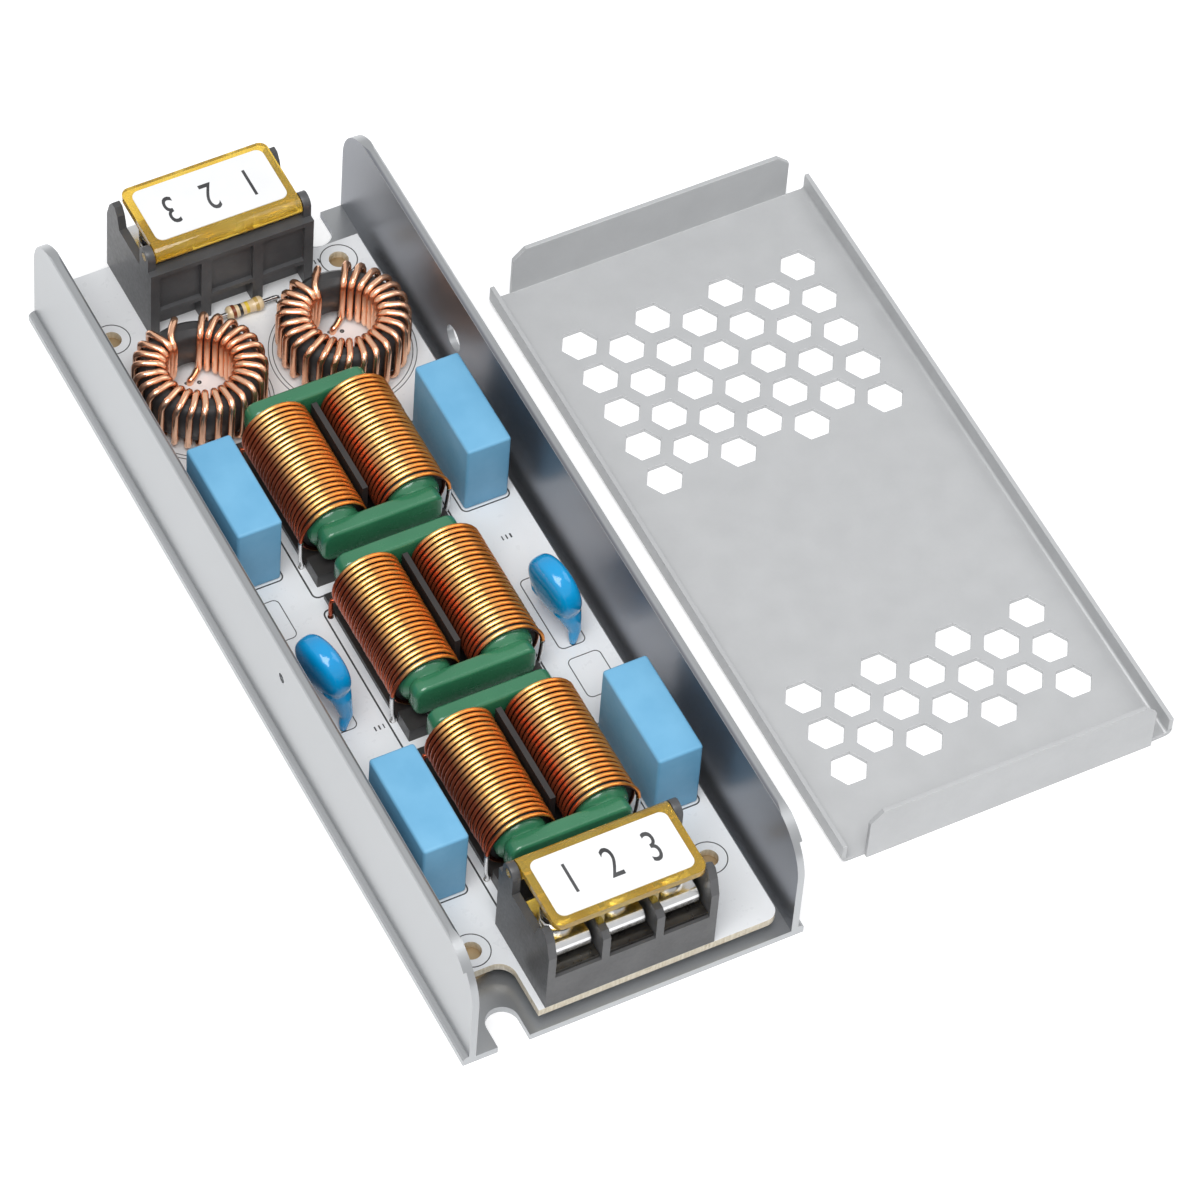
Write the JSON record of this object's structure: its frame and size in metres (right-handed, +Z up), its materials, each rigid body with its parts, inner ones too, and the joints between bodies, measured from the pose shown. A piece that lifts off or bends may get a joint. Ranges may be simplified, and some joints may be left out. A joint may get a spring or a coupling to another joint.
{
  "type": "emi line filter",
  "caption": "Open-tray mains line filter: white board with common mode chokes, ring chokes, film and disc capacitors, screw terminals under amber flip lids, loose perforated cover.",
  "frame": {"origin": "centre of the tray's underside, on the table", "axes": "+Y along the tray towards the input terminal, +Z up, +X towards the loose cover"},
  "size_m": [0.1331, 0.167, 0.0251],
  "materials": {
    "aluminium": "satin, lightly brushed sheet",
    "board": "white solder mask",
    "tan_metal": "plain",
    "tin": "tin plated",
    "black_plastic": "moulded",
    "amber_plastic": "clear amber",
    "label_white": "paper label",
    "green_epoxy": "epoxy coated core",
    "copper": "enamelled copper wire",
    "dark_core": "coated powder core",
    "pale_blue_plastic": "moulded box",
    "disc_blue": "dipped lacquer",
    "beige_lacquer": "lacquer"
  },
  "bodies": {
    "filter": {"tray": "aluminium", "top_cover": "aluminium", "circuit_board": "board", "board_pillars": "tan_metal", "solder_joints": "tin", "output_body": "black_plastic", "output_contacts": "tin", "output_clamps": "tin", "output_screws": "tin", "input_body": "black_plastic", "input_contacts": "tin", "input_clamps": "tin", "input_screws": "tin", "choke_1_core": "green_epoxy", "choke_1_base": "black_plastic", "choke_1_coil_left": "copper", "choke_1_coil_right": "copper", "choke_2_core": "green_epoxy", "choke_2_base": "black_plastic", "choke_2_coil_left": "copper", "choke_2_coil_right": "copper", "choke_3_core": "green_epoxy", "choke_3_base": "black_plastic", "choke_3_coil_left": "copper", "choke_3_coil_right": "copper", "ring_core_left": "dark_core", "ring_coil_left": "copper", "ring_core_right": "dark_core", "ring_coil_right": "copper", "film_capacitor_1": "pale_blue_plastic", "film_capacitor_2": "pale_blue_plastic", "film_capacitor_3": "pale_blue_plastic", "film_capacitor_4": "pale_blue_plastic", "disc_capacitor_left": "disc_blue", "disc_capacitor_right": "disc_blue", "resistor_body": "beige_lacquer", "resistor_leads": "tin"},
    "output_lid": {"output_lid": "amber_plastic", "output_label": "label_white"},
    "input_lid": {"input_lid": "amber_plastic", "input_label": "label_white"}
  },
  "joints": [
    {"name": "output_lid_hinge", "type": "hinge", "parent": "filter", "child": "output_lid", "pos_m": [0, -0.0664, 0.0229], "axis": [-1, 0, 0], "range_deg": [0, 105]},
    {"name": "input_lid_hinge", "type": "hinge", "parent": "filter", "child": "input_lid", "pos_m": [0, 0.0698, 0.0229], "axis": [1, 0, 0], "range_deg": [0, 105]}
  ]
}
